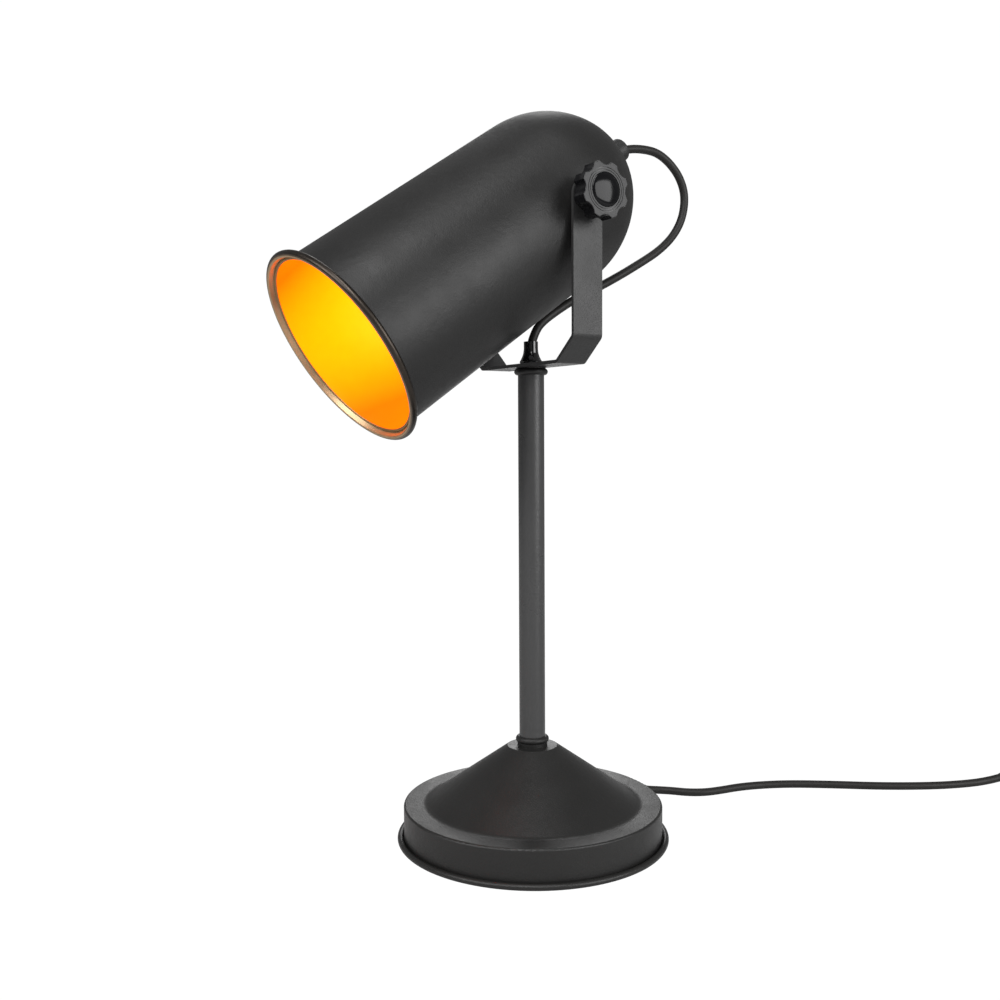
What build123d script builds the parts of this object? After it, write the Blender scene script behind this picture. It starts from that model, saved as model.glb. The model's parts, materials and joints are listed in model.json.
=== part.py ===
from build123d import *
import math
import os

# A table lamp: a weighted round base, an upright stem, a strap yoke that turns on the stem, and a
# bell-shaped tin shade that tilts between two hand knobs. Millimetres, +Z up, origin on the floor
# under the stem. The shade points to -Y and tilts about an axis along X.

# Fits
thread_gap = 0.05       # radial, between a thread, spigot or pin and its bore
turning_gap = 0.05      # between flat faces that turn on each other
cord_gap = 0.1          # radial, between the cord and a bore that guides it

# Cord
cord_radius = 2.65
run_share = 0.45        # of a run that the arc at each of its ends may use

# Base
drum_radius = 80.0
drum_height = 22.7
drum_corner = 1.2
base_wall = 1.0
ring_width = 14.0       # ring on top of the drum, out from where the cone's line meets it
foot_corner = 6.0       # hollow in which the cone runs out into the ring
cone_top_radius = 15.5
cone_top_corner = 1.0
cone_height = 58.0
bead_radius = 1.9       # rolled bead round the foot of the drum
bead_lift = 0.3
bead_groove = 0.2       # dark line between the drum and its bead
bead_web_lift = 0.3     # web that joins them, above the bead's lowest line
bead_web = 0.9
sharp_bend = 0.2        # least inner radius of a bend, as a share of the sheet

pad_inset = 2.0
pad_thickness = 2.0
plate_thickness = 1.2
plate_gap = 0.4
weight_thickness = 12.0
weight_inner_radius = 22.0
weight_inset = 5.0
weight_slot = 9.0       # channel for the cord
standoff_radius = 4.0
base_screw_radius = 2.0
base_screw_head_radius = 3.5
base_screw_head = 1.8
base_screw_hole_gap = 0.3
base_screw_end_gap = 1.5
base_screw_slot = 0.8
base_screw_inset = 10.0
base_screw_count = 3

# Where the cord leaves the base
exit_azimuth = 103.0
exit_height = 9.5
exit_reach = 10.0       # how far the bush stands out of the drum
exit_run = 9.4          # straight run of the cord outside it
bush_flange = 2.2
bush_flange_radius = 5.2
bush_neck_radius = 3.9
bush_sleeve_radius = 4.65
bush_tip_radius = 3.3
inner_bend_radius = 33.0

# Stem
stem_radius = 8.0
stem_wall = 1.0
stem_length = 229.0
collar_shoulder = 2.0   # floor of the lower collar, which carries the tube
collar_neck = 1.2       # wall of the collars round the tube
collar_bead_radius = 2.0
collar_bead_out = 0.2   # how far the bead's middle stands off the bore
upper_shoulder = 1.2
tie_radius = 5.0        # threaded tube that ties the stem to the base
tie_bore_radius = 4.1
tie_below_cone = 14.0
tie_below_stem_top = 15.0
plug_in_stem = 12.0
washer_thickness = 1.6
washer_radius = 11.0
tie_nut = 5.0
tie_nut_flats = 14.0

# Swivel on top of the stem
friction_washer = 0.6
friction_washer_radius = 9.0
swivel_nut = 4.2
swivel_nut_radius = 6.5
spring_washer = 0.8
nipple_below_nut = 2.0
nipple_in_grip = 1.5

# Yoke
strap_width = 20.0
strap_thickness = 2.0
yoke_half_width = 58.0
yoke_chamfer_width = 16.6
yoke_chamfer_height = 13.9
yoke_bend_radius = 4.0
pivot_above_yoke = 92.4  # from the underside of the yoke's floor

# Cord grip in the yoke
grip_foot_radius = 6.6
grip_shoulder_radius = 6.9
grip_shoulder_height = 1.6
grip_lip_radius = 4.35
grip_lip_length = 3.9
grip_height = 13.6
grip_bore_radius = 3.8
grip_screw_radius = 1.3
grip_screw_slot = 0.6
grip_screw_height = 3.7
grip_screw_azimuth = -34.0
grip_screw_proud = 0.5

# Shade, in the head's frame: z forward from the pivot
rest_tilt = 34.4        # degrees below the horizontal
shade_wall = 0.8
dome_inset = 1.25       # of the dome from the bosses' faces
dome_drawn_out = 6.25   # how much longer the dome is than its radius
dome_flattening = 4.25  # how much less the crown's radius is than the dome's
dome_centre = -8.5
dome_land_radius = 8.5
mouth_flare = 1.15
mouth_start = 149.5
edge_roll_radius = 0.9
mouth_bead_radius = 2.15
mouth_bead_groove = 0.1
mouth_web = 1.0
mouth_bead_forward = 2.2

# Pivots
boss_radius = 7.0
boss_length = 8.0
pivot_washer = 0.95
pivot_washer_radius = 9.0
stud_radius = 3.0
stud_length = 25.0
arm_hole_radius = 3.2
clamp_washer = 1.0
clamp_washer_radius = 8.0

# Knobs
knob_radius = 15.7
knob_rim = 9.0
knob_hub_radius = 10.0
knob_hub = 6.5
knob_lobes = 8
scallop_radius = 6.0
scallop_centre = 19.6
knob_edge = 0.5
knob_cap_radius = 9.45
knob_cap_seat = 1.2
knob_cap_rise = 1.4
knob_ring_outer = 12.05
knob_ring_inner = 10.7
knob_ring_groove = 0.35
knob_ring_depth = 0.4
stud_in_knob = 11.0

# Gland at the back of the shade
gland_body_radius = 6.7
gland_body_length = 9.0
gland_nut_radius = 7.3
gland_nut_length = 7.6
gland_nut_corner = 1.8
gland_joint = 0.05
nipple_short_of_end = 4.4

# Lamp holder and bulb
holder_washer = 1.0
holder_washer_radius = 8.3
holder_locknut = 3.0
holder_locknut_radius = 7.5
holder_cap_gap = 0.46   # between the locknut and the holder's cap
holder_cap_length = 14.5
holder_cap_radius = 17.0
holder_radius = 19.5
holder_wall = 2.0
holder_body_length = 35.5
holder_lip = 2.0
insert_thickness = 6.0
insert_radius = 16.0
screw_shell_radius = 13.7
screw_shell_wall = 0.5
screw_shell_length = 24.0
contact_radius = 4.0
contact_height = 2.7
bulb_cap_radius = 13.1
bulb_cap_wall = 1.0
bulb_cap_length = 27.0
bulb_gap = 0.3          # between the holder's contact and the cap
bulb_neck_radius = 13.5
bulb_radius = 30.0
bulb_glass_wall = 1.0
bulb_length = 108.0

# Switch on the cord; x along the cord
switch_length = 60.0
switch_width = 26.0
switch_height = 17.0
switch_corner = 9.0
switch_wall = 1.8
switch_neck_radius = 4.6
switch_neck_length = 6.0
rocker_length = 19.0
rocker_width = 11.4
rocker_tilt = 8.0       # each way from level
rocker_window_gap = 0.5
rocker_axle_height = 13.0
rocker_axle_radius = 1.5
rocker_axle_length = 16.0
rocker_depth = 2.6
rocker_rise = 4.6
rocker_valley = 1.6
rocker_boss = 3.0
switch_screw_radius = 1.2
switch_screw_place = 22.0
terminal_width = 6.0
terminal_place = 14.0
contact_strip = 0.8

# Plug; x from its neck to its pins
plug_neck_radius = 4.1
plug_neck_length = 6.0
plug_length = 36.0
plug_width = 35.3
plug_back_width = 15.0
plug_taper = 12.0
plug_thickness = 13.7
plug_corner = 2.0
pin_radius = 2.0
pin_length = 19.0
pin_spacing = 18.6
pin_in_body = 8.0

# Coil of the cord that is put away
coil_pitch = 5.9
coil_outer_radius = 39.4
coil_halves_in = 7
coil_halves_out = 6
coil_end = 5.3
coil_lift = 0.9
tie_band = 0.6
tie_gap = 0.3
tie_width = 8.0

# The floor's own axes: 'right' and 'away', as the lamp is looked at from its right front
floor_turn = 56.33

# Places that follow from the sizes
ring_foot = drum_radius - ring_width
drum_inside = drum_radius - base_wall
pad_radius = drum_inside - pad_inset
weight_outer_radius = drum_inside - weight_inset
base_screw_circle = drum_inside - base_screw_inset
plate_top = pad_thickness + plate_thickness
weight_top = plate_top + weight_thickness
stem_seat = cone_height + collar_shoulder
stem_top = stem_seat + stem_length
stem_inside = stem_radius - stem_wall
collar_radius = stem_radius + collar_neck
collar_top = stem_top + upper_shoulder
yoke_floor = collar_top + friction_washer
yoke_floor_top = yoke_floor + strap_thickness
pivot_height = yoke_floor + pivot_above_yoke
grip_top = yoke_floor_top + grip_height
nipple_radius = tie_radius
nipple_bore_radius = tie_bore_radius
tie_bottom = cone_height - tie_below_cone
tie_length = stem_top - tie_below_stem_top - tie_bottom
tie_top = tie_bottom + tie_length
swivel_nut_top = stem_top - spring_washer
swivel_nut_bottom = swivel_nut_top - swivel_nut
arm_inside = yoke_half_width - strap_thickness
boss_face = arm_inside - pivot_washer - turning_gap
dome_radius = boss_face - dome_inset
dome_length = dome_radius + dome_drawn_out
dome_crown_radius = dome_radius - dome_flattening
mouth_wall_radius = dome_radius + mouth_flare
dome_crown_centre = dome_centre - dome_length + dome_crown_radius
dome_flank_radius = (
    dome_radius ** 2 + (dome_centre - dome_crown_centre) ** 2 - dome_crown_radius ** 2
) / (2 * (dome_radius - dome_crown_radius))
dome_land = dome_crown_centre - math.sqrt(dome_crown_radius ** 2 - dome_land_radius ** 2)
dome_inside = dome_land + shade_wall
gland_end = dome_land - gland_body_length - gland_joint - gland_nut_length
clamp_seat = yoke_half_width + clamp_washer
knob_rim_start = clamp_seat + knob_hub
knob_face = knob_rim_start + knob_rim
holder_cap_start = dome_inside + holder_washer + holder_locknut + holder_cap_gap
holder_cap_end = holder_cap_start + holder_cap_length
insert_top = holder_cap_end + insert_thickness
bulb_start = insert_top + contact_height + bulb_gap
bulb_neck_start = bulb_start + bulb_cap_length
bulb_tip = bulb_start + bulb_length
switch_middle = switch_height / 2
plug_middle = plug_thickness / 2
coil_low = coil_lift + cord_radius
coil_high = coil_low + coil_pitch

# Frames of the sub-parts
head = Plane(
    origin=(0, 0, pivot_height),
    x_dir=(1, 0, 0),
    z_dir=(0, -math.cos(math.radians(rest_tilt)), -math.sin(math.radians(rest_tilt))),
)
exit_axis = Plane(
    origin=(0, 0, exit_height),
    z_dir=(math.cos(math.radians(exit_azimuth)), math.sin(math.radians(exit_azimuth)), 0),
)
floor = Plane(
    origin=(0, 0, 0),
    x_dir=(math.cos(math.radians(floor_turn)), math.sin(math.radians(floor_turn)), 0),
    z_dir=(0, 0, 1),
)


def side_axis(side):
    """Plane on the pivot's axis that looks out to the right (1) or left (-1), its x upward."""
    return Plane(origin=(0, 0, pivot_height), x_dir=(0, 0, 1), z_dir=(side, 0, 0))


def floor_point(right, away, height):
    """A point given on the floor's own axes, in the lamp's frame."""
    cosine = math.cos(math.radians(floor_turn))
    sine = math.sin(math.radians(floor_turn))
    return (right * cosine - away * sine, right * sine + away * cosine, height)


def exit_point(reach):
    """A point on the axis of the cord's exit, at a distance outside the drum."""
    azimuth = math.radians(exit_azimuth)
    distance = drum_radius + reach
    return (distance * math.cos(azimuth), distance * math.sin(azimuth), exit_height)


def head_point(forward, up):
    """A point of the head's middle plane at rest, in the lamp's frame."""
    cosine = math.cos(math.radians(rest_tilt))
    sine = math.sin(math.radians(rest_tilt))
    return (0, -forward * cosine - up * sine, pivot_height - forward * sine + up * cosine)


# Shapes that are used more than once

def disc(radius, bottom, top):
    """A round solid on the z axis."""
    return Pos(0, 0, (bottom + top) / 2) * Cylinder(radius, top - bottom)


def ring(inner, outer, bottom, top):
    """A round ring or tube on the z axis."""
    return disc(outer, bottom, top) - disc(inner, bottom, top)


def block(x0, x1, y0, y1, z0, z1):
    """A box between two corners."""
    return Pos((x0 + x1) / 2, (y0 + y1) / 2, (z0 + z1) / 2) * Box(x1 - x0, y1 - y0, z1 - z0)


def patch(x0, x1, y0, y1):
    """A rectangular face between two corners."""
    return Pos((x0 + x1) / 2, (y0 + y1) / 2) * Rectangle(x1 - x0, y1 - y0)


def turned(face):
    """The solid that a face of radius and height makes round the z axis."""
    return revolve(Rot(90, 0, 0) * face, Axis.Z)


def hexagon(flats, hole, bottom, top):
    """A hexagonal nut on the z axis."""
    corner_radius = flats / math.sqrt(3)
    nut = Pos(0, 0, bottom) * extrude(RegularPolygon(corner_radius, 6), top - bottom)
    return nut - disc(hole, bottom, top)


def side_step(start, end, distance):
    """A line moved to its right."""
    run = math.dist(start, end)
    shift_x = (end[1] - start[1]) / run * distance
    shift_y = (start[0] - end[0]) / run * distance
    return (start[0] + shift_x, start[1] + shift_y), (end[0] + shift_x, end[1] + shift_y)


def crossing(first, second):
    """Where two lines meet."""
    (ax, ay), (bx, by) = first
    (cx, cy), (dx, dy) = second
    turn = (bx - ax) * (dy - cy) - (by - ay) * (dx - cx)
    share = ((cx - ax) * (dy - cy) - (cy - ay) * (dx - cx)) / turn
    return (ax + (bx - ax) * share, ay + (by - ay) * share)


def sheet_face(points, radii, wall):
    """Section of a bent sheet: an outline with rounded corners, and its parallel a wall to the right."""
    lines = [side_step(start, end, wall) for start, end in zip(points, points[1:])]
    inner = [lines[0][0]]
    inner += [crossing(first, second) for first, second in zip(lines, lines[1:])]
    inner += [lines[-1][1]]
    inner_radii = []
    for before, corner, after, radius in zip(points, points[1:], points[2:], radii):
        run_in = (corner[0] - before[0], corner[1] - before[1])
        run_out = (after[0] - corner[0], after[1] - corner[1])
        turn = run_in[0] * run_out[1] - run_in[1] * run_out[0]
        inner_radii.append(max(radius - wall, wall * sharp_bend) if turn < 0 else radius + wall)
    outside = FilletPolyline(*points, radius=radii)
    inside = FilletPolyline(*inner, radius=inner_radii)
    ends = [Line(points[0], inner[0]), Line(points[-1], inner[-1])]
    return make_face(outside.edges() + inside.edges() + ends)


# The cord

def cord_radii(points):
    """The largest arcs that the runs of a route leave room for, one for each corner."""
    radii = []
    for before, corner, after in zip(points, points[1:], points[2:]):
        run_in = Vector(*corner) - Vector(*before)
        run_out = Vector(*after) - Vector(*corner)
        turn = math.radians(run_in.get_angle(run_out))
        radii.append(run_share * min(run_in.length, run_out.length) / math.tan(turn / 2))
    return radii


def cord_tube(name, points, radii=None):
    """A stretch of cord: straight runs joined by tangent arcs."""
    radii = radii or cord_radii(points)
    path = FilletPolyline(*points, radius=radii)
    tube = sweep(Plane(origin=path @ 0, z_dir=path % 0) * Circle(cord_radius), path=path)
    expected = math.pi * cord_radius ** 2 * path.length
    share = tube.volume / expected
    print(f"{name}: length {path.length:.1f}, tightest arc {min(radii):.1f}, volume {share:.4f}")
    lengths[name] = path.length
    return tube


lengths = {}

# Centreline of the cord's free stretches: [right, away, height] on the floor
mains_route = [exit_point(exit_reach), exit_point(exit_reach + exit_run)] + [
    floor_point(*point)
    for point in [
        (76.5, 77.7, 8.3),
        (86.2, 79.8, 6.1),
        (96.4, 78.7, 4.0),
        (107.0, 75.3, 2.8),
        (119.0, 75.5, 2.65),
        (131.0, 80.2, 2.65),
        (144.0, 86.8, 2.65),
        (160.0, 91.6, 2.65),
        (182.0, 94.6, 2.65),
        (212.0, 93.2, 2.65),
        (245.0, 90.2, 2.65),
        (281.0, 91.2, 2.65),
        (308.0, 96.6, 2.65),
        (324.0, 101.4, 3.4),
        (338.0, 104.2, 6.2),
        (350.5, 104.5, 8.5),
        (363.0, 104.5, 8.5),
    ]
]
lead_route = [
    floor_point(*point)
    for point in [
        (417.0, 104.5, 8.5),
        (431.5, 104.5, 8.5),
        (446.0, 100.2, 7.0),
        (457.2, 91.2, 5.0),
        (463.6, 78.4, 3.8),
        (465.5, 62.0, 3.55),
        (465.5, 45.3, 3.55),
    ]
]
plug_route = [
    floor_point(*point)
    for point in [
        (459.6, 34.7, 9.45),
        (459.6, 21.0, 9.45),
        (454.0, 7.2, 8.5),
        (443.6, -3.6, 5.8),
        (429.9, -9.6, 4.7),
        (415.4, -11.0, 6.85),
        (401.0, -11.0, 6.85),
    ]
]
switch_place = (390.0, 104.5)
plug_place = (401.0, -11.0)
coil_place = (426.1, 40.0)

# Centreline of the cord through the grip: [y, height above the yoke's floor] in the middle plane
grip_route = [
    (0, y, yoke_floor_top + height)
    for y, height in [(0, -11.8), (0, -4.3), (-1.1, 3.7), (-0.95, 8.6), (0.85, grip_height)]
]

# Centreline of its loop to the head: [y, height] above the grip, then above the pivot
loop_route = [
    (0, y, grip_top + height)
    for y, height in [
        (0.85, 0.0),
        (3.25, 6.65),
        (8.65, 12.7),
        (19.6, 20.0),
        (35.0, 28.9),
        (52.0, 36.5),
    ]
]
loop_route += [
    (0, y, pivot_height + height)
    for y, height in [
        (69.0, -31.7),
        (85.0, -22.9),
        (100.3, -14.0),
        (113.0, -3.3),
        (121.0, 9.4),
        (123.2, 24.0),
        (119.0, 36.8),
        (110.2, 46.4),
        (98.8, 51.2),
        (86.3, 49.8),
    ]
]
loop_route += [head_point(gland_end - 5.8, -2.8), head_point(gland_end, -1.25)]

# Centreline of its end in the head: [distance in front of the gland's end, height] in the head's frame
tail_route = [
    head_point(gland_end + forward, up)
    for forward, up in [(34.4, 0), (18.4, 0.9), (6.4, 0.5), (0, -1.25)]
]


def coil_path():
    """Centreline of the coil: half turns inward, one that climbs, then half turns outward on top."""
    right, away = coil_place
    radius = coil_outer_radius
    side = 1
    start = floor_point(right + radius, away, coil_low)
    edges = [Line(floor_point(right + radius, away + coil_end, coil_low), start)]
    for half in range(coil_halves_in + 1 + coil_halves_out):
        low = coil_low if half <= coil_halves_in else coil_high
        high = coil_low if half < coil_halves_in else coil_high
        near = right + side * radius
        far = right - side * radius
        if half == coil_halves_in:
            # two equal arcs that leave and arrive level
            climb = high - low
            reach = math.sqrt(radius ** 2 + climb ** 2 / 4)
            joint = (right, away - side * reach, (low + high) / 2)
            for end, height in ((near, low), (far, high)):
                corner = (end, away - side * reach, height)
                edges.append(arc_by_corner((end, away, height), corner, joint))
        else:
            middle = floor_point(right, away - side * radius, low)
            edges.append(ThreePointArc(floor_point(near, away, low), middle, floor_point(far, away, low)))
        step = coil_pitch / 2
        next_radius = radius - step if half < coil_halves_in else radius + step
        right = far + side * next_radius
        radius = next_radius
        side = -side
    last = right + side * radius
    edges.append(Line(floor_point(last, away, coil_high), floor_point(last, away - coil_end, coil_high)))
    return Wire(edges)


def arc_by_corner(start, corner, end):
    """The arc from start to end that is tangent to both lines through the corner, on the floor's axes."""
    chord_middle = [(a + b) / 2 for a, b in zip(start, end)]
    half_chord = math.dist(start, end) / 2
    height = math.dist(corner, chord_middle)
    rise = half_chord * math.tan(math.atan(height / half_chord) / 2)
    middle = [m + (c - m) / height * rise for m, c in zip(chord_middle, corner)]
    return ThreePointArc(floor_point(*start), floor_point(*middle), floor_point(*end))


def least_gap(path, step=2.0):
    """Least clear gap of a coiled cord to itself, on points along it."""
    count = int(path.length / step)
    points = [path @ (index / count) for index in range(count + 1)]
    apart = int(6 * cord_radius / step) + 1
    least = min(
        (points[i] - points[j]).length
        for i in range(0, len(points))
        for j in range(i + apart, len(points))
    )
    return least - 2 * cord_radius


def cord_coil():
    path = coil_path()
    tube = sweep(Plane(origin=path @ 0, z_dir=path % 0) * Circle(cord_radius), path=path)
    expected = math.pi * cord_radius ** 2 * path.length
    share = tube.volume / expected
    print(f"cord_coil: length {path.length:.1f}, volume {share:.4f}, gap {least_gap(path):.2f}")
    lengths["cord_coil"] = path.length
    return tube


def coil_tie():
    """Band round the section of the coil, on its left."""
    right, away = coil_place
    outer = right - coil_outer_radius - cord_radius - tie_gap
    inner_turn = coil_outer_radius - coil_halves_in * coil_pitch / 2
    inner = right - inner_turn - coil_pitch / 2 + cord_radius + 2 * tie_gap
    low = tie_band
    high = coil_high + cord_radius + tie_gap
    width = inner - outer
    height = high - low
    band = RectangleRounded(width + 2 * tie_band, height + 2 * tie_band, cord_radius + tie_band)
    band -= RectangleRounded(width, height, cord_radius)
    section = Rot(90, 0, 0) * Pos((outer + inner) / 2, (low + high) / 2) * band
    return floor * Pos(0, away, 0) * extrude(section, amount=tie_width / 2, both=True)


# Base

def screw_places(radius):
    """Evenly spaced places on a circle, clear of the cord's channel."""
    step = 360 / base_screw_count
    first = exit_azimuth + step / 2
    return [Rot(0, 0, first + index * step) * Pos(radius, 0, 0) for index in range(base_screw_count)]


def base_shell():
    web_bottom = bead_lift + bead_web_lift
    outline = [
        (tie_radius + thread_gap, cone_height),
        (cone_top_radius, cone_height),
        (ring_foot, drum_height),
        (drum_radius, drum_height),
        (drum_radius, web_bottom),
    ]
    wall = sheet_face(outline, [cone_top_corner, foot_corner, drum_corner], base_wall)
    bead_centre = drum_radius + bead_groove + bead_radius
    bead = Pos(bead_centre, bead_lift + bead_radius) * Circle(bead_radius)
    web = patch(drum_inside, bead_centre, web_bottom, web_bottom + bead_web)
    shell = turned(wall + bead + web)
    return shell - exit_axis * disc(bush_neck_radius + thread_gap, ring_foot, drum_radius + base_wall)


def base_pad():
    pad = disc(pad_radius, 0, pad_thickness)
    for place in screw_places(base_screw_circle):
        pad -= place * disc(base_screw_head_radius + base_screw_hole_gap, 0, pad_thickness)
    return pad


def base_plate():
    plate = disc(drum_inside - plate_gap, pad_thickness, plate_top)
    for place in screw_places(base_screw_circle):
        plate -= place * disc(base_screw_radius + base_screw_hole_gap, pad_thickness, plate_top)
    return plate


def base_weight():
    weight = ring(weight_inner_radius, weight_outer_radius, plate_top, weight_top)
    half = weight_slot / 2
    channel = block(weight_inner_radius / 2, drum_radius, -half, half, plate_top, weight_top)
    weight -= Rot(0, 0, exit_azimuth) * channel
    for place in screw_places(base_screw_circle):
        weight -= place * disc(base_screw_radius + base_screw_hole_gap, plate_top, weight_top)
    return weight


def base_standoffs():
    top = drum_height - base_wall
    post = ring(base_screw_radius + thread_gap, standoff_radius, weight_top, top)
    return Compound(children=[place * post for place in screw_places(base_screw_circle)])


def base_plate_screws():
    top = drum_height - base_wall - base_screw_end_gap
    screw = disc(base_screw_head_radius, pad_thickness - base_screw_head, pad_thickness)
    screw += disc(base_screw_radius, pad_thickness, top)
    reach = base_screw_head_radius
    half = base_screw_slot / 2
    screw -= block(-reach, reach, -half, half, 0, pad_thickness - base_screw_head / 2)
    return Compound(children=[place * screw for place in screw_places(base_screw_circle)])


def base_cord_bush():
    bore = cord_radius + cord_gap
    start = drum_inside - bush_flange
    end = drum_radius + bush_flange
    tall = disc(drum_inside - thread_gap, 0, drum_height)
    inner_flange = exit_axis * ring(bore, bush_flange_radius, start, drum_radius) & tall
    outer_flange = exit_axis * ring(bore, bush_flange_radius, drum_inside, end)
    outer_flange -= disc(drum_radius + thread_gap, 0, drum_height)
    neck = exit_axis * ring(bore, bush_neck_radius, start, end)
    length = exit_reach - bush_flange
    sleeve = Pos(0, 0, end + length / 2) * Cone(bush_sleeve_radius, bush_tip_radius, length)
    sleeve -= disc(bore, end, end + length)
    return inner_flange + neck + outer_flange + exit_axis * sleeve


def cord_in_stand():
    route = [grip_route[0], (0, 0, exit_height), exit_point(exit_reach)]
    return cord_tube("cord_in_stand", route, [inner_bend_radius])


# Stem

def collar(bore, seat, bead_height, face, face_radius):
    """A turned collar with a half-round bead: a floor between seat and face, and a skirt over the tube."""
    low, high = sorted((seat, face))
    skirt_low, skirt_high = sorted((face, bead_height))
    inside = stem_radius + thread_gap
    section = patch(bore, face_radius, low, high)
    section += patch(inside, collar_radius, skirt_low, skirt_high)
    bead = Pos(inside + collar_bead_out, bead_height) * Circle(collar_bead_radius)
    section += bead - patch(0, inside, bead_height - collar_bead_radius, bead_height + collar_bead_radius)
    return turned(section)


def lower_collar():
    bead_height = stem_seat + collar_bead_radius
    return collar(tie_radius + thread_gap, cone_height, bead_height, stem_seat, collar_radius)


def upper_collar():
    inside = stem_radius + thread_gap
    bead_height = collar_top - collar_bead_radius
    face_radius = inside + collar_bead_out
    section = patch(nipple_radius + cord_gap, face_radius, stem_top, collar_top)
    bead = Pos(face_radius, bead_height) * Circle(collar_bead_radius)
    section += bead - patch(0, inside, bead_height - collar_bead_radius, stem_top)
    section -= patch(0, nipple_radius + cord_gap, bead_height, collar_top)
    return turned(section)


def stem_tube():
    return ring(stem_inside, stem_radius, stem_seat, stem_top)


def tie_tube():
    return ring(tie_bore_radius, tie_radius, tie_bottom, tie_top)


def stem_plug():
    return ring(tie_radius + thread_gap, stem_inside - thread_gap, tie_top - plug_in_stem, tie_top)


def tie_tube_washer():
    top = cone_height - base_wall
    return ring(tie_radius + cord_gap, washer_radius, top - washer_thickness, top)


def tie_tube_nut():
    top = cone_height - base_wall - washer_thickness
    return hexagon(tie_nut_flats, tie_radius + thread_gap, top - tie_nut, top)


# Yoke and its swivel

def yoke_bracket():
    floor_half = yoke_half_width - yoke_chamfer_width
    bend_height = yoke_floor + yoke_chamfer_height
    arm_top = pivot_height + strap_width / 2
    outline = [
        (yoke_half_width, arm_top),
        (yoke_half_width, bend_height),
        (floor_half, yoke_floor),
        (-floor_half, yoke_floor),
        (-yoke_half_width, bend_height),
        (-yoke_half_width, arm_top),
    ]
    section = sheet_face(outline, [yoke_bend_radius] * 4, strap_thickness)
    strap = extrude(Rot(90, 0, 0) * section, amount=strap_width / 2, both=True)
    side_view = patch(-strap_width / 2, strap_width / 2, yoke_floor, pivot_height)
    side_view += Pos(0, pivot_height) * Circle(strap_width / 2)
    rounded = extrude(Rot(0, 0, 90) * Rot(90, 0, 0) * side_view, amount=yoke_half_width, both=True)
    strap = strap & rounded
    strap -= side_axis(1) * disc(arm_hole_radius, -yoke_half_width, yoke_half_width)
    return strap - disc(nipple_radius + cord_gap, yoke_floor, yoke_floor_top)


def swivel_friction_washer():
    return ring(nipple_radius + cord_gap, friction_washer_radius, collar_top, yoke_floor)


def swivel_spring_washer():
    return ring(nipple_radius + cord_gap, swivel_nut_radius, swivel_nut_top, stem_top)


def swivel_nut_solid():
    return ring(nipple_radius + thread_gap, swivel_nut_radius, swivel_nut_bottom, swivel_nut_top)


def swivel_nipple():
    bottom = swivel_nut_bottom - nipple_below_nut
    return ring(nipple_bore_radius, nipple_radius, bottom, yoke_floor_top + nipple_in_grip)


def grip_screw_axis():
    azimuth = math.radians(grip_screw_azimuth)
    height = yoke_floor_top + grip_screw_height
    return Plane(origin=(0, 0, height), z_dir=(math.cos(azimuth), math.sin(azimuth), 0))


def grip_flare(height):
    """Outer radius of the grip's hollow flare at a height above the yoke's floor."""
    rise = grip_height - grip_lip_length - grip_shoulder_height
    flare = grip_shoulder_radius - grip_lip_radius
    bend = (rise ** 2 + flare ** 2) / (2 * flare)
    below_lip = grip_height - grip_lip_length - height
    return grip_lip_radius + bend - math.sqrt(bend ** 2 - below_lip ** 2)


def stem_cord_grip():
    bottom = yoke_floor_top
    shoulder = bottom + grip_shoulder_height
    lip = grip_top - grip_lip_length
    middle_height = (grip_shoulder_height + grip_height - grip_lip_length) / 2
    outline = [
        Line((grip_bore_radius, bottom), (grip_foot_radius, bottom)),
        Line((grip_foot_radius, bottom), (grip_shoulder_radius, shoulder)),
        ThreePointArc(
            (grip_shoulder_radius, shoulder),
            (grip_flare(middle_height), bottom + middle_height),
            (grip_lip_radius, lip),
        ),
        Line((grip_lip_radius, lip), (grip_lip_radius, grip_top)),
        Line((grip_lip_radius, grip_top), (grip_bore_radius, grip_top)),
        Line((grip_bore_radius, grip_top), (grip_bore_radius, bottom)),
    ]
    grip = turned(make_face(outline))
    grip -= disc(nipple_radius + thread_gap, bottom, bottom + nipple_in_grip + thread_gap)
    return grip - grip_screw_axis() * disc(grip_screw_radius + thread_gap, 0, 2 * grip_shoulder_radius)


def grip_screw():
    face = grip_flare(grip_screw_height) + grip_screw_proud
    screw = disc(grip_screw_radius, grip_bore_radius, face)
    half = grip_screw_slot / 2
    slot = block(-grip_screw_radius, grip_screw_radius, -half, half, face - grip_screw_proud, face)
    return grip_screw_axis() * (screw - slot)


# Head

def shade_outline(inset):
    """Dome and wall of the shade, from the hole in its crown to its mouth, moved inward by an inset."""
    crown = dome_crown_radius - inset
    flank = dome_flank_radius - inset
    land = dome_land + inset
    land_edge = math.sqrt(crown ** 2 - (dome_crown_centre - land) ** 2)
    lean = math.atan2(dome_centre - dome_crown_centre, dome_flank_radius - dome_radius)
    joint = (crown * math.cos(lean), dome_crown_centre - crown * math.sin(lean))
    crown_turn = (math.acos(land_edge / crown) + lean) / 2
    crown_middle = (crown * math.cos(crown_turn), dome_crown_centre - crown * math.sin(crown_turn))
    flank_centre = dome_radius - dome_flank_radius
    flank_middle = (flank_centre + flank * math.cos(lean / 2), dome_centre - flank * math.sin(lean / 2))
    side = (dome_radius - inset, dome_centre)
    return [
        Line((nipple_radius + cord_gap, land), (land_edge, land)),
        ThreePointArc((land_edge, land), crown_middle, joint),
        ThreePointArc(joint, flank_middle, side),
        Line(side, (mouth_wall_radius - inset, mouth_start + edge_roll_radius)),
    ]


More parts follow.
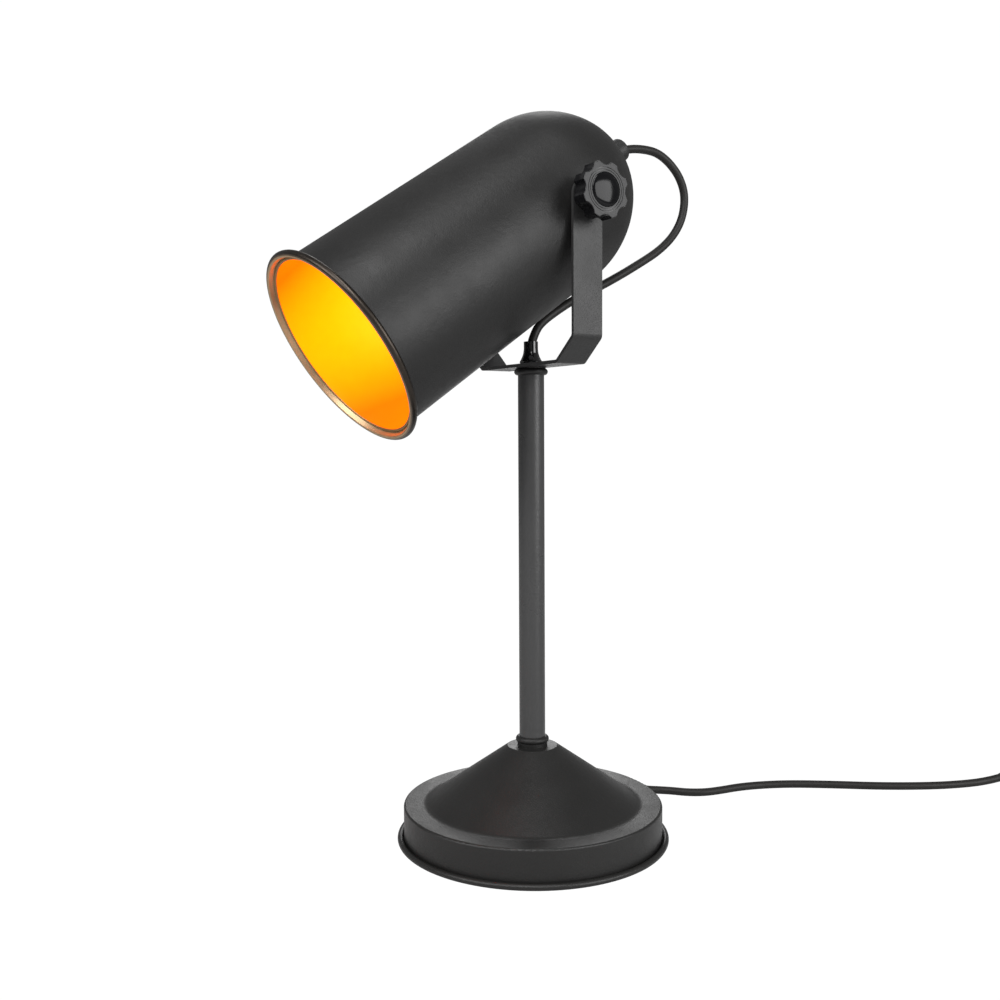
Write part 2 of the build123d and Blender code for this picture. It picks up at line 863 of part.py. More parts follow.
def shade_shell():
    outside = shade_outline(0)
    inside = shade_outline(shade_wall)
    ends = [Line(outside[0] @ 0, inside[0] @ 0), Line(outside[-1] @ 1, inside[-1] @ 1)]
    section = make_face(outside + inside + ends)
    edge_radius = mouth_wall_radius
    edge_height = mouth_start + edge_roll_radius
    bead_centre = edge_radius + edge_roll_radius + mouth_bead_groove + mouth_bead_radius
    section += Pos(edge_radius, edge_height) * Circle(edge_roll_radius)
    section += Pos(bead_centre, mouth_start + mouth_bead_forward) * Circle(mouth_bead_radius)
    half_web = mouth_web / 2
    section += patch(edge_radius, bead_centre, edge_height - half_web, edge_height + half_web)
    shell = head * Rot(0, 0, -90) * turned(section)
    hole = disc(boss_radius + thread_gap, boss_face - boss_length, boss_face + boss_length)
    for side in (1, -1):
        shell -= side_axis(side) * hole
    return shell


def pivot_bosses():
    boss = ring(stud_radius + thread_gap, boss_radius, boss_face - boss_length, boss_face)
    return Compound(children=[side_axis(side) * boss for side in (1, -1)])


def pivot_washers():
    washer = ring(arm_hole_radius, pivot_washer_radius, boss_face, boss_face + pivot_washer)
    return Compound(children=[side_axis(side) * washer for side in (1, -1)])


def gland_bore():
    return nipple_bore_radius + 2 * cord_gap


def rear_gland_body():
    start = dome_land - gland_body_length
    return head * ring(nipple_radius + thread_gap, gland_body_radius, start, dome_land)


def rear_gland_nut():
    start = gland_end + gland_nut_length
    nut = disc(gland_nut_radius, gland_end, start)
    nut = fillet(nut.edges().group_by(Axis.Z)[0], gland_nut_corner)
    nut -= disc(nipple_radius + thread_gap, gland_end + nipple_short_of_end - thread_gap, start)
    return head * (nut - disc(gland_bore(), gland_end, start))


def holder_nipple():
    start = gland_end + nipple_short_of_end
    return head * ring(nipple_bore_radius, nipple_radius, start, holder_cap_start + insert_thickness)


def holder_washer_ring():
    end = dome_inside + holder_washer
    return head * ring(nipple_radius + cord_gap, holder_washer_radius, dome_inside, end)


def holder_locknut_ring():
    start = dome_inside + holder_washer
    flats = holder_locknut_radius * math.sqrt(3)
    return head * hexagon(flats, nipple_radius + thread_gap, start, start + holder_locknut)


def holder_cap():
    section = make_face(
        [
            Line((nipple_radius + thread_gap, holder_cap_start), (holder_cap_radius, holder_cap_start)),
            Line((holder_cap_radius, holder_cap_start), (holder_radius, holder_cap_end)),
            Line((holder_radius, holder_cap_end), (holder_radius - holder_wall, holder_cap_end)),
            Line(
                (holder_radius - holder_wall, holder_cap_end),
                (holder_cap_radius - holder_wall, holder_cap_start + holder_wall),
            ),
            Line(
                (holder_cap_radius - holder_wall, holder_cap_start + holder_wall),
                (nipple_radius + thread_gap, holder_cap_start + holder_wall),
            ),
            Line(
                (nipple_radius + thread_gap, holder_cap_start + holder_wall),
                (nipple_radius + thread_gap, holder_cap_start),
            ),
        ]
    )
    return head * turned(section)


def holder_body():
    end = holder_cap_end + holder_body_length
    body = ring(holder_radius - holder_wall, holder_radius, holder_cap_end, end)
    body += ring(insert_radius + thread_gap, holder_radius, holder_cap_end, insert_top)
    body += ring(screw_shell_radius + thread_gap, holder_radius, end - holder_lip, end)
    return head * body


def holder_insert():
    insert = disc(insert_radius, holder_cap_end, insert_top)
    for side in (1, -1):
        insert -= Pos(side * insert_radius / 2, 0, 0) * disc(cord_radius / 2, holder_cap_end, insert_top)
    return head * insert


def holder_screw_shell():
    inside = screw_shell_radius - screw_shell_wall
    return head * ring(inside, screw_shell_radius, insert_top, insert_top + screw_shell_length)


def holder_contact():
    return head * disc(contact_radius, insert_top, insert_top + contact_height)


def bulb_cap():
    cap = disc(bulb_cap_radius, bulb_start, bulb_neck_start)
    return head * (cap - disc(bulb_cap_radius - bulb_cap_wall, bulb_start + bulb_cap_wall, bulb_neck_start))


def bulb_form(inset):
    """The bulb's neck and globe as a closed solid, moved inward by an inset."""
    neck = bulb_neck_radius - inset
    globe = bulb_radius - inset
    centre = bulb_tip - bulb_radius
    across = math.hypot(neck, centre - bulb_neck_start)
    angle = math.atan2(bulb_neck_start - centre, neck) + math.acos(globe / across)
    touch = (globe * math.cos(angle), centre + globe * math.sin(angle))
    shoulder = (globe * math.cos(math.pi / 8), centre + globe * math.sin(math.pi / 8))
    section = make_face(
        [
            Line((0, bulb_neck_start), (neck, bulb_neck_start)),
            Line((neck, bulb_neck_start), touch),
            ThreePointArc(touch, shoulder, (0, centre + globe)),
            Line((0, centre + globe), (0, bulb_neck_start)),
        ]
    )
    return turned(section)


def bulb_glass():
    return head * (bulb_form(0) - bulb_form(bulb_glass_wall))


# Knobs and what clamps with them

def clamp_washer_ring(side):
    return side_axis(side) * ring(arm_hole_radius, clamp_washer_radius, yoke_half_width, clamp_seat)


def knob(side):
    body = disc(knob_hub_radius, clamp_seat, knob_rim_start) + disc(knob_radius, knob_rim_start, knob_face)
    for index in range(knob_lobes):
        scallop = Pos(scallop_centre, 0, 0) * disc(scallop_radius, knob_rim_start, knob_face)
        body -= Rot(0, 0, index * 360 / knob_lobes) * scallop
    rim_edges = body.edges().filter_by(lambda edge: edge.center().Z > knob_face - knob_edge / 2)
    body = fillet(rim_edges, knob_edge)
    body -= disc(stud_radius + thread_gap, clamp_seat, clamp_seat + stud_in_knob)
    body -= disc(knob_cap_radius + thread_gap, knob_face - knob_cap_seat, knob_face)
    for radius in (knob_ring_inner, knob_ring_outer):
        body -= ring(radius - knob_ring_groove, radius, knob_face - knob_ring_depth, knob_face)
    return side_axis(side) * body


def knob_cap(side):
    bottom = knob_face - knob_cap_seat
    top = knob_face + knob_cap_rise
    bend = (knob_cap_radius ** 2 + knob_cap_rise ** 2) / (2 * knob_cap_rise)
    middle = knob_cap_radius / 2
    middle_height = top - bend + math.sqrt(bend ** 2 - middle ** 2)
    section = make_face(
        [
            Line((0, bottom), (knob_cap_radius, bottom)),
            Line((knob_cap_radius, bottom), (knob_cap_radius, knob_face)),
            ThreePointArc((knob_cap_radius, knob_face), (middle, middle_height), (0, top)),
            Line((0, top), (0, bottom)),
        ]
    )
    return side_axis(side) * turned(section)


def clamp_stud(side):
    end = clamp_seat + stud_in_knob
    return side_axis(side) * disc(stud_radius, end - stud_length, end)


# Switch on the cord

def switch_frame():
    return floor * Pos(switch_place[0], switch_place[1], 0)


def rocker_window():
    half = rocker_length / 2 + rocker_window_gap
    swing = math.sin(math.radians(rocker_tilt)) * rocker_rise
    return half + swing, rocker_width / 2 + rocker_window_gap


def switch_case():
    """Both halves of the switch's case in one, with the ways for the cord and the rocker."""
    case = extrude(RectangleRounded(switch_length, switch_width, switch_corner), switch_height)
    case = fillet(case.faces().sort_by(Axis.Z)[-1].edges(), switch_wall)
    room = RectangleRounded(
        switch_length - 2 * switch_wall, switch_width - 2 * switch_wall, switch_corner - switch_wall
    )
    half = switch_length / 2
    for side in (1, -1):
        neck = disc(switch_neck_radius, half - switch_wall / 2, half + switch_neck_length)
        case += Pos(0, 0, switch_middle) * Rot(0, side * 90, 0) * neck
    case -= Pos(0, 0, switch_wall) * extrude(room, switch_height - 2 * switch_wall)
    way = disc(cord_radius + cord_gap, -half - switch_neck_length, half + switch_neck_length)
    case -= Pos(0, 0, switch_middle) * Rot(0, 90, 0) * way
    window_x, window_y = rocker_window()
    case -= block(-window_x, window_x, -window_y, window_y, switch_height - switch_wall, switch_height)
    top = switch_height - switch_wall
    for side in (1, -1):
        inner = side * window_y
        outer = side * (rocker_axle_length / 2 + thread_gap + rocker_window_gap)
        low, high = sorted((inner, outer))
        case += block(-rocker_boss, rocker_boss, low, high, rocker_axle_height - rocker_boss, top)
    reach = rocker_axle_length / 2 + thread_gap
    axle = disc(rocker_axle_radius + thread_gap, -reach, reach)
    case -= Pos(0, 0, rocker_axle_height) * Rot(90, 0, 0) * axle
    return case


def switch_half(low, high):
    reach = switch_length
    return switch_case() & block(-reach, reach, -reach, reach, low, high)


def switch_screw_places():
    across = switch_width / 2 - 3 * switch_wall
    return [Pos(side * switch_screw_place, side * across, 0) for side in (1, -1)]


def switch_base():
    base = switch_half(0, switch_middle)
    for place in switch_screw_places():
        base += place * disc(2 * switch_screw_radius, switch_wall / 2, switch_middle)
        base -= place * disc(switch_screw_radius + thread_gap, 0, switch_middle)
    return switch_frame() * base


def switch_cover():
    cover = switch_half(switch_middle, switch_height)
    for place in switch_screw_places():
        cover += place * disc(2 * switch_screw_radius, switch_middle, switch_height - switch_wall / 2)
        cover -= place * disc(switch_screw_radius + thread_gap, switch_middle, switch_height - switch_wall)
    return switch_frame() * cover


def switch_screws():
    screw = disc(switch_screw_radius, switch_wall / 2, switch_height - 2 * switch_wall)
    return Compound(children=[switch_frame() * place * screw for place in switch_screw_places()])


def switch_contacts():
    """Two terminals, each with a leaf that reaches under the rocker."""
    pieces = []
    half = terminal_width / 2
    for side in (1, -1):
        middle = side * terminal_place
        post_top = switch_wall + contact_strip * 3
        post = block(middle - half, middle + half, -half, half, switch_wall, post_top)
        tip, root = sorted((side * half, middle))
        leaf_top = switch_wall + contact_strip
        leaf = block(tip, root, -terminal_width / 3, terminal_width / 3, switch_wall, leaf_top)
        pieces.append(switch_frame() * (post + leaf))
    return Compound(children=pieces)


def switch_rocker():
    half = rocker_length / 2
    side_view = make_face(
        Polyline(
            (-half, -rocker_depth),
            (half, -rocker_depth),
            (half, rocker_rise),
            (0, rocker_rise - rocker_valley),
            (-half, rocker_rise),
            close=True,
        ).edges()
    )
    body = extrude(Rot(90, 0, 0) * side_view, amount=rocker_width / 2, both=True)
    body += Rot(90, 0, 0) * disc(rocker_axle_radius, -rocker_axle_length / 2, rocker_axle_length / 2)
    return switch_frame() * Pos(0, 0, rocker_axle_height) * Rot(0, rocker_tilt, 0) * body


# Plug

def plug_frame():
    return floor * Pos(plug_place[0], plug_place[1], 0) * Rot(0, 0, 180)


def pin_places():
    return [Pos(0, side * pin_spacing / 2, plug_middle) * Rot(0, 90, 0) for side in (1, -1)]


def plug_body():
    start = plug_neck_length
    front = start + plug_length
    half = plug_width / 2
    half_back = plug_back_width / 2
    outline = Polyline(
        (start, -half_back),
        (start + plug_taper, -half),
        (front, -half),
        (front, half),
        (start + plug_taper, half),
        (start, half_back),
        close=True,
    )
    body = extrude(make_face(outline.edges()), plug_thickness)
    body = fillet(body.edges().filter_by(Axis.Z), plug_corner)
    neck = Rot(0, 90, 0) * disc(plug_neck_radius, 0, plug_neck_length + plug_corner)
    body += Pos(0, 0, plug_middle) * neck
    for place in pin_places():
        body -= place * disc(pin_radius + thread_gap, front - pin_in_body, front)
    return plug_frame() * body


def plug_pins():
    front = plug_neck_length + plug_length
    pin = disc(pin_radius, front - pin_in_body, front + pin_length)
    pin = fillet(pin.edges().group_by(Axis.Z)[-1], pin_radius / 2)
    return Compound(children=[plug_frame() * place * pin for place in pin_places()])


def save(name, shape):
    export_step(shape, f"parts/{name}.step")


os.makedirs("parts", exist_ok=True)

save("base_shell", base_shell())
save("base_pad", base_pad())
save("base_plate", base_plate())
save("base_weight", base_weight())
save("base_standoffs", base_standoffs())
save("base_plate_screws", base_plate_screws())
save("base_cord_bush", base_cord_bush())

save("lower_collar", lower_collar())
save("upper_collar", upper_collar())
save("stem_tube", stem_tube())
save("stem_plug", stem_plug())
save("tie_tube", tie_tube())
save("tie_tube_washer", tie_tube_washer())
save("tie_tube_nut", tie_tube_nut())

save("yoke_bracket", yoke_bracket())
save("swivel_friction_washer", swivel_friction_washer())
save("swivel_spring_washer", swivel_spring_washer())
save("swivel_nut", swivel_nut_solid())
save("swivel_nipple", swivel_nipple())
save("stem_cord_grip", stem_cord_grip())
save("grip_screw", grip_screw())

save("shade_shell", shade_shell())
save("pivot_bosses", pivot_bosses())
save("pivot_washers", pivot_washers())
save("rear_gland_body", rear_gland_body())
save("rear_gland_nut", rear_gland_nut())
save("holder_nipple", holder_nipple())
save("holder_washer", holder_washer_ring())
save("holder_locknut", holder_locknut_ring())
save("holder_cap", holder_cap())
save("holder_body", holder_body())
save("holder_insert", holder_insert())
save("holder_screw_shell", holder_screw_shell())
save("holder_contact", holder_contact())
save("bulb_cap", bulb_cap())
save("bulb_glass", bulb_glass())

for side, word in ((1, "right"), (-1, "left")):
    save(f"{word}_clamp_washer", clamp_washer_ring(side))
    save(f"{word}_knob", knob(side))
    save(f"{word}_knob_cap", knob_cap(side))
    save(f"{word}_clamp_stud", clamp_stud(side))

save("cord_in_stand", cord_in_stand())
save("grip_cord", cord_tube("grip_cord", grip_route))
save("head_loop_cord", cord_tube("head_loop_cord", loop_route))
save("head_cord_tail", cord_tube("head_cord_tail", tail_route))
save("mains_cord", cord_tube("mains_cord", mains_route))
save("switch_lead", cord_tube("switch_lead", lead_route))
save("cord_coil", cord_coil())
save("plug_lead", cord_tube("plug_lead", plug_route))
save("coil_tie", coil_tie())

save("switch_base", switch_base())
save("switch_cover", switch_cover())
save("switch_screws", switch_screws())
save("switch_contacts", switch_contacts())
save("switch_rocker", switch_rocker())
save("plug_body", plug_body())
save("plug_pins", plug_pins())

outside = sum(lengths[name] for name in ("mains_cord", "switch_lead", "cord_coil", "plug_lead"))
print(f"cord from the base to the plug: {outside:.0f}")
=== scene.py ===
import json
import math

import bmesh
import bpy
from mathutils import Matrix, Vector


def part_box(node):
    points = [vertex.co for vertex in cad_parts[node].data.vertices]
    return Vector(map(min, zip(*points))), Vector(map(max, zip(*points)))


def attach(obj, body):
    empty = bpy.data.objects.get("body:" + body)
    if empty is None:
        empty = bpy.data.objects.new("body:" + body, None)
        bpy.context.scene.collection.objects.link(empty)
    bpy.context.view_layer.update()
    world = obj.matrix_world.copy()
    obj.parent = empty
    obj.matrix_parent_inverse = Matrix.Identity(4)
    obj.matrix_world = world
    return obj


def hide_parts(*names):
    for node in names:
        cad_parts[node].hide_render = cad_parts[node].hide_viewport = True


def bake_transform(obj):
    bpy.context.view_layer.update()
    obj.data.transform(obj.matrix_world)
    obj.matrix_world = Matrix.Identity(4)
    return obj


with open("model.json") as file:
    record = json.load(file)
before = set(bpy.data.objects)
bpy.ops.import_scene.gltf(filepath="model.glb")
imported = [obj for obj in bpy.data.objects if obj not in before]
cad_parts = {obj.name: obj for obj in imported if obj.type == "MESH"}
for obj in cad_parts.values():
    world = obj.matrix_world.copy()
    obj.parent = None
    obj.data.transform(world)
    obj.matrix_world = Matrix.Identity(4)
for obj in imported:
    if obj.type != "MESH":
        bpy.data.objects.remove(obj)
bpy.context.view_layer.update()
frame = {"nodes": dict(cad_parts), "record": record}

# Places, in millimetres; what is made from them is scaled to metres
MM = 0.001
PIVOT_Z = 383.2
TILT = math.radians(34.4)       # of the shade, below the horizontal
TURN = math.radians(56.33)      # of the camera, round the stem
UP = Vector((0, 0, 1))
ALONG = Vector((math.cos(TURN), math.sin(TURN), 0))     # to the right, as the camera sees it
AWAY = Vector((-math.sin(TURN), math.cos(TURN), 0))     # away from the camera


def mm(x, y, z):
    return Vector((x, y, z)) * MM


def floor_point(right, away, height):
    """A point by its distance to the right of the stem and beyond it, as the camera sees them."""
    c, s = math.cos(TURN), math.sin(TURN)
    return mm(right * c - away * s, right * s + away * c, height)


def frame_of(origin, z_axis, x_axis):
    """The matrix of a frame, whose x axis is made square to its z axis."""
    z = Vector(z_axis).normalized()
    x = Vector(x_axis)
    x = (x - x.dot(z) * z).normalized()
    y = z.cross(x)
    turn = Matrix((x, y, z)).transposed().to_4x4()
    return Matrix.Translation(origin) @ turn


# The head: z runs forward from the pivot to the mouth
HEAD = frame_of(mm(0, 0, PIVOT_Z), (0, -math.cos(TILT), -math.sin(TILT)), (1, 0, 0))

# Materials

COLOR_A, COLOR_B, COLOR_OUT = 6, 7, 2       # sockets of the mix node that carry colour


class Look:
    """A Principled material with short calls for its nodes."""

    def __init__(self, name, color, roughness, metallic=0.0, **values):
        self.material = bpy.data.materials.new(name)
        self.material.use_nodes = True
        self.tree = self.material.node_tree
        self.shader = self.tree.nodes["Principled BSDF"]
        self.place = self.add("ShaderNodeTexCoord").outputs["Object"]
        self.set(self.shader, "Base Color", (*color, 1))
        self.set(self.shader, "Roughness", roughness)
        self.set(self.shader, "Metallic", metallic)
        for key, value in values.items():
            self.set(self.shader, key.replace("_", " "), value)

    def set(self, node, socket, value):
        if isinstance(value, bpy.types.NodeSocket):
            self.tree.links.new(value, node.inputs[socket])
        else:
            node.inputs[socket].default_value = value

    def add(self, kind, inputs=None, **settings):
        node = self.tree.nodes.new(kind)
        for key, value in settings.items():
            setattr(node, key, value)
        for socket, value in (inputs or {}).items():
            self.set(node, socket, value)
        return node

    def noise(self, scale, detail=3.0):
        values = {"Vector": self.place, "Scale": scale, "Detail": detail}
        return self.add("ShaderNodeTexNoise", values).outputs["Fac"]

    def ramp(self, factor, low, high, from_low=0.0, from_high=1.0):
        """Maps the range between from_low and from_high to low and high."""
        values = {0: factor, 1: from_low, 2: from_high, 3: low, 4: high}
        return self.add("ShaderNodeMapRange", values, clamp=True).outputs[0]

    def mix(self, factor, first, second):
        """Each end is a colour or another node's output."""
        node = self.add("ShaderNodeMix", {0: factor}, data_type="RGBA")
        for socket, value in ((COLOR_A, first), (COLOR_B, second)):
            self.set(node, socket, value if isinstance(value, bpy.types.NodeSocket) else (*value, 1))
        return node.outputs[COLOR_OUT]

    def calc(self, operation, first, second=0.0):
        return self.add("ShaderNodeMath", {0: first, 1: second}, operation=operation).outputs[0]

    def bump(self, height, strength, distance):
        """Adds a bump on top of those that the shader has."""
        node = self.add("ShaderNodeBump", {"Height": height, "Strength": strength, "Distance": distance})
        if self.shader.inputs["Normal"].links:
            self.set(node, "Normal", self.shader.inputs["Normal"].links[0].from_socket)
        self.set(self.shader, "Normal", node.outputs["Normal"])

    def vary(self, first, second, scale):
        self.set(self.shader, "Base Color", self.mix(self.noise(scale), first, second))

    def rough(self, low, high, scale):
        self.set(self.shader, "Roughness", self.ramp(self.noise(scale, 4.0), low, high, 0.3, 0.7))

    def glow(self, color, strength):
        self.set(self.shader, "Emission Color", (*color, 1))
        self.set(self.shader, "Emission Strength", strength)


def powder(name, low, high, rough):
    """Powder coat: a fine orange peel over slow changes of gloss."""
    look = Look(name, low, rough[0], Specular_IOR_Level=0.38)
    look.vary(low, high, 30.0)
    look.rough(*rough, 45.0)
    look.bump(look.noise(1300.0, 2.0), 0.3, 0.0004)
    look.bump(look.noise(260.0, 2.0), 0.15, 0.0008)
    return look


def plastic(name, low, high, rough, grain, strength, coat=0.0, shine=0.5):
    look = Look(name, low, rough[0], Coat_Weight=coat, Coat_Roughness=0.08, Specular_IOR_Level=shine)
    look.vary(low, high, 60.0)
    look.rough(*rough, 90.0)
    look.bump(look.noise(grain), strength, 0.0003)
    return look


def metal(name, low, high, rough, strength=0.1):
    look = Look(name, low, rough[0], 1.0)
    look.vary(low, high, 120.0)
    look.rough(*rough, 200.0)
    look.bump(look.noise(900.0), strength, 0.0002)
    return look


black_coat = powder("powder_coat", (0.0075, 0.0074, 0.0073), (0.0115, 0.0113, 0.0111), (0.40, 0.52))
base_coat = powder("base_coat", (0.0100, 0.0098, 0.0095), (0.0145, 0.0142, 0.0138), (0.36, 0.46))
# painted light: the stem and the yoke get lighter copies of the black powder coat, which stand in for light
# falling on them
stem_coat_painted_light = powder("stem_coat_painted_light", (0.042, 0.042, 0.0425), (0.050, 0.050, 0.0505), (0.26, 0.34))
yoke_coat_painted_light = powder("yoke_coat_painted_light", (0.022, 0.022, 0.0222), (0.028, 0.028, 0.0282), (0.38, 0.48))

POLISHED = ((0.0025, 0.0025, 0.003), (0.005, 0.005, 0.006))
gloss = plastic("gloss_black", *POLISHED, (0.07, 0.13), 500.0, 0.02, coat=0.5)
cap_look = plastic("cap_black", *POLISHED, (0.1, 0.14), 400.0, 0.02, shine=0.2)
matt = plastic("matt_black", (0.009, 0.009, 0.009), (0.015, 0.015, 0.015), (0.42, 0.55), 1600.0, 0.2)
pad = plastic("pad_rubber", (0.014, 0.014, 0.014), (0.022, 0.021, 0.02), (0.7, 0.85), 700.0, 0.3)
cord_look = plastic(
    "cord_black", (0.010, 0.0095, 0.009), (0.016, 0.015, 0.014), (0.44, 0.54), 1900.0, 0.05, shine=0.3,
)
nylon = plastic("nylon", (0.72, 0.71, 0.66), (0.80, 0.79, 0.75), (0.4, 0.5), 900.0, 0.08)
ceramic = plastic("glazed_white", (0.78, 0.77, 0.72), (0.84, 0.83, 0.79), (0.12, 0.2), 300.0, 0.04, coat=0.3)

dark_steel = metal("black_oxide", (0.05, 0.05, 0.052), (0.08, 0.08, 0.082), (0.35, 0.45))
steel = metal("zinc_steel", (0.55, 0.55, 0.56), (0.66, 0.65, 0.62), (0.22, 0.38))
iron = metal("cast_iron", (0.09, 0.088, 0.085), (0.14, 0.13, 0.12), (0.55, 0.75), 0.5)
brass = metal("brass", (0.72, 0.52, 0.24), (0.80, 0.62, 0.32), (0.2, 0.34))
bronze = metal("bronze_bead", (0.46, 0.32, 0.18), (0.58, 0.42, 0.26), (0.36, 0.44), 0.05)
brown = metal("bronze_shaded", (0.16, 0.12, 0.085), (0.20, 0.15, 0.11), (0.28, 0.36), 0.05)
umber = metal("bronze_dark", (0.045, 0.038, 0.033), (0.06, 0.05, 0.042), (0.3, 0.4), 0.05)
edge_look = metal("gold_edge", (0.32, 0.20, 0.09), (0.38, 0.24, 0.11), (0.4, 0.5), 0.05)

glass = Look("frosted_glass", (0.9, 0.88, 0.82), 0.45, Transmission_Weight=0.6)
glass.rough(0.4, 0.5, 80.0)
glass.glow((1.0, 0.78, 0.42), 0.75)

# Gold lining of the shade, with the bulb's light painted on as a glow: distances from the pivot in metres,
# and strengths
GLOW_COLOR = (0.98, 0.19, 0.0)
GLOW_RANGE = (0.8, 3.4)
GLOW_LEVEL = 0.72               # at mid height, as a share of that range
GLOW_FALL = 1.2                 # how much less it is at the top and bottom
GLOW_HALF_HEIGHT = 0.056
GLOW_INSIDE = (0.45, 0.09)      # how much more it is inside, and up to where
GLOW_MOUTH = 0.15
# painted shadow on the lining beside the lamp holder
HOLDER_SHADOW = (0.12, -0.045)  # share that is left beside the lamp holder, and where
HOLDER_FRONT = 0.03


def measure(look, direction):
    """How far a point lies from the pivot along a direction, in metres."""
    offset = -Vector(direction).dot(mm(0, 0, PIVOT_Z))
    node = look.add("ShaderNodeVectorMath", {0: look.place, 1: direction}, operation="DOT_PRODUCT")
    return look.calc("ADD", node.outputs["Value"], offset)


def lining():
    """Gold lacquer with the bulb's light painted on as a glow: most at mid height and well inside, less at
    the mouth, and a painted shadow by the holder.
    """
    look = Look("gold_lining", (0.4, 0.10, 0.002), 0.4, 0.1, Specular_IOR_Level=0.15)
    look.rough(0.3, 0.42, 60.0)
    look.bump(look.noise(800.0, 2.0), 0.05, 0.0003)
    ahead = measure(look, (0, -math.cos(TILT), -math.sin(TILT)))
    up = measure(look, (0, -math.sin(TILT), math.cos(TILT)))
    off_middle = look.calc("POWER", look.calc("ABSOLUTE", look.calc("DIVIDE", up, GLOW_HALF_HEIGHT)), 2.0)
    inward = look.ramp(ahead, GLOW_INSIDE[0], 0.0, GLOW_INSIDE[1], GLOW_MOUTH)
    raised = look.calc("ADD", inward, GLOW_LEVEL)
    level = look.calc("SUBTRACT", raised, look.calc("MULTIPLY", off_middle, GLOW_FALL))
    shadow = look.ramp(ahead, HOLDER_SHADOW[0], 1.0, HOLDER_SHADOW[1], HOLDER_FRONT)
    mottle = look.ramp(look.noise(150.0, 4.0), 0.95, 1.05)
    shadowed = look.calc("MULTIPLY", look.ramp(level, *GLOW_RANGE), shadow)
    # painted light: the bulb's light on the lining, drawn as emission
    look.glow(GLOW_COLOR, look.calc("MULTIPLY", shadowed, mottle))
    return look


# Knobs, with polished sides and a satin face, which lies this far out from the middle, in metres; the face's
# lighter tone is partly its own and partly painted sheen
KNOB_SIDES_END = 0.07425
KNOB_FACE = 0.07442
KNOB_SIDE_TONES = ((0.003, 0.003, 0.0035), (0.006, 0.006, 0.007))
KNOB_FACE_TONES_AND_SHEEN = ((0.016, 0.016, 0.0165), (0.024, 0.024, 0.025))


def knob_plastic():
    look = plastic("knob_black", *KNOB_SIDE_TONES, (0.08, 0.14), 500.0, 0.02, shine=0.4)
    across = look.add("ShaderNodeSeparateXYZ", {0: look.place}).outputs["X"]
    on_face = look.ramp(look.calc("ABSOLUTE", across), 0.0, 1.0, KNOB_SIDES_END, KNOB_FACE)
    side_tone = look.mix(look.noise(60.0), *KNOB_SIDE_TONES)
    # partly painted sheen: the face is drawn lighter than the sides
    face_tone_and_sheen = look.mix(look.noise(900.0), *KNOB_FACE_TONES_AND_SHEEN)
    look.set(look.shader, "Base Color", look.mix(on_face, side_tone, face_tone_and_sheen))
    look.set(look.shader, "Roughness", look.ramp(on_face, 0.11, 0.42))
    return look


gold = lining()
knob_look = knob_plastic()

LOOKS = {
    "black_coat": black_coat, "black_gloss": gloss, "black_plastic": matt, "shade_tin": black_coat,
    "steel": steel, "iron": iron, "brass": brass, "nylon": nylon, "pad": pad, "cord": cord_look,
    "ceramic": ceramic, "bulb_glass": glass,
}
OWN_LOOKS = {
    "base_shell": base_coat, "stem_tube": stem_coat_painted_light, "yoke_bracket": yoke_coat_painted_light, "grip_screw": dark_steel,
    "swivel_friction_washer": matt, "right_knob": knob_look, "left_knob": knob_look,
    "right_knob_cap": cap_look, "left_knob_cap": cap_look,
}


def dress(obj, look):
    if obj.material_slots:
        for place in obj.material_slots:
            place.material = look.material
    else:
        obj.data.materials.append(look.material)


for part in frame["record"]["subparts"]:
    dress(frame["nodes"][part["node"]], OWN_LOOKS.get(part["node"], LOOKS[part["material_slot"]]))

# Meshes

SMOOTH = 35.0       # degrees between faces up to which they are shaded as one
POLE = 1e-6         # radius under which a ring is one point


def show(name, data):
    obj = bpy.data.objects.new(name, data)
    bpy.context.scene.collection.objects.link(obj)
    return obj


def make(name, mesh, body, matrix=None, nodes=(), looks=()):
    """A piece of the lamp. It is attached to no body if none is given."""
    obj = show(name, mesh)
    if matrix is not None:
        mesh.transform(matrix)
    for look in looks:
        mesh.materials.append(look.material)
    if body:
        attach(obj, body)
    if nodes:
        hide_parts(*nodes)
    return obj


def mesh_of(work, name, smooth=SMOOTH):
    bmesh.ops.recalc_face_normals(work, faces=work.faces)
    for face in work.faces:
        face.smooth = True
    for edge in work.edges:
        if len(edge.link_faces) == 2:
            edge.smooth = edge.calc_face_angle() < math.radians(smooth)
    mesh = bpy.data.meshes.new(name)
    work.to_mesh(mesh)
    work.free()
    return mesh


def spin(name, outline, sides, smooth=SMOOTH, closed=True):
    """A turned mesh. Its outline is (radius, height, look of the run that follows), in millimetres."""
    work = bmesh.new()
    turns = [2 * math.pi * side / sides for side in range(sides)]
    rings = []
    for radius, height, _ in outline:
        if radius < POLE:
            places = [mm(0, 0, height)]
        else:
            places = [mm(radius * math.cos(turn), radius * math.sin(turn), height) for turn in turns]
        rings.append([work.verts.new(place) for place in places])
    pairs = list(zip(range(len(rings)), range(1, len(rings))))
    if closed:
        pairs.append((len(rings) - 1, 0))
    for low, high in pairs:
        first, second = rings[low], rings[high]
        for side in range(sides):
            after = (side + 1) % sides
            corners = [first[side % len(first)], first[after % len(first)]]
            corners += [second[after % len(second)], second[side % len(second)]]
            corners = list(dict.fromkeys(corners))
            if len(corners) > 2:
                work.faces.new(corners).material_index = outline[low][2]
    return mesh_of(work, name, smooth)


def arc(centre, radius, start, end, count, look):
    """Points of an arc in the (radius, height) plane, with angles in degrees."""
    turns = [math.radians(start + (end - start) * step / count) for step in range(count + 1)]
    return [(centre[0] + radius * math.cos(t), centre[1] + radius * math.sin(t), look) for t in turns]


# Cords: a route holds its spline's control points, as (right, away, height), or (y, z) for the loop

